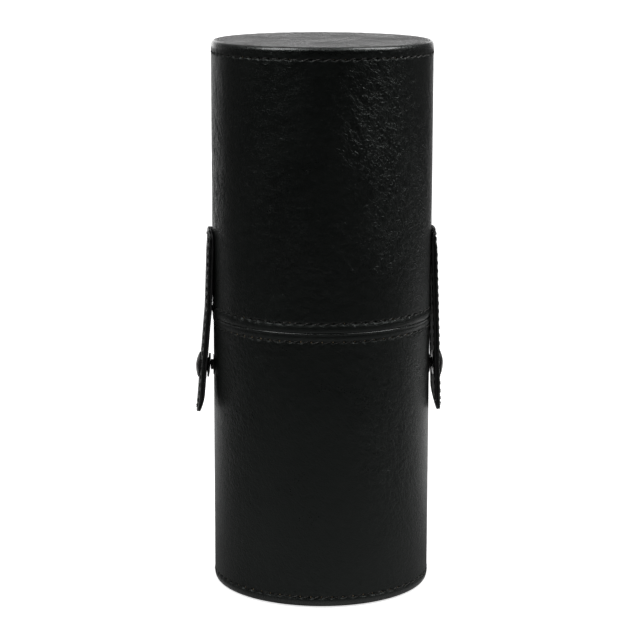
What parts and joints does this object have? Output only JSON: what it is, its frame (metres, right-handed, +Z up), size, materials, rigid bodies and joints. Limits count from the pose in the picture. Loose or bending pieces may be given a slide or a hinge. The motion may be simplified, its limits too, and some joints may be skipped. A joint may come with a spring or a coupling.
{
  "type": "cylindrical travel case",
  "caption": "Upright round leather case in two cups: the upper cup slips over a neck sleeve, and two side straps snap onto the lower cup.",
  "frame": {"origin": "centre of the base face, on the surface the case stands on", "axes": "+Z up along the case's axis; +X towards the right-hand strap seen from the front, which is -Y; the skins' glued seams are at +Y"},
  "size_m": [0.0989, 0.0866, 0.215],
  "materials": {
    "skin_leather": "fine wrinkled grain, satin, near black",
    "tube_board": "rolled grey-brown board, matt",
    "lining_cloth": "short flocked black lining",
    "strap_leather": "smooth grain, satin, black, edge stitched",
    "snap_metal": "black lacquered snap fastener, semi-gloss",
    "rivet_metal": "plain nickelled steel"
  },
  "bodies": {
    "lower_cup": {"lower_skin": "skin_leather", "lower_board": "tube_board", "lower_lining": "lining_cloth", "base_board": "tube_board", "base_cover": "skin_leather", "base_pad": "lining_cloth", "neck_board": "tube_board", "neck_wrap": "lining_cloth", "stud_left": "snap_metal", "stud_right": "snap_metal", "stud_rivet_left": "rivet_metal", "stud_rivet_right": "rivet_metal"},
    "upper_cup": {"upper_skin": "skin_leather", "upper_board": "tube_board", "upper_lining": "lining_cloth", "top_board": "tube_board", "top_cover": "skin_leather", "top_pad": "lining_cloth", "strap_front_left": "strap_leather", "strap_front_right": "strap_leather", "strap_back_left": "strap_leather", "strap_back_right": "strap_leather"},
    "left_tail": {"tail_front_left": "strap_leather", "tail_back_left": "strap_leather", "snap_cap_left": "snap_metal", "snap_socket_left": "snap_metal"},
    "right_tail": {"tail_front_right": "strap_leather", "tail_back_right": "strap_leather", "snap_cap_right": "snap_metal", "snap_socket_right": "snap_metal"}
  },
  "joints": [
    {"name": "lid_lift", "type": "slide", "parent": "lower_cup", "child": "upper_cup", "axis": [0, 0, 1], "range_m": [0, 0.065]},
    {"name": "left_strap_open", "type": "hinge", "parent": "upper_cup", "child": "left_tail", "pos_m": [-0.04606, 0, 0.11109], "axis": [0, 1, 0], "range_deg": [0, 100]},
    {"name": "right_strap_open", "type": "hinge", "parent": "upper_cup", "child": "right_tail", "pos_m": [0.04606, 0, 0.11109], "axis": [0, -1, 0], "range_deg": [0, 100]}
  ]
}
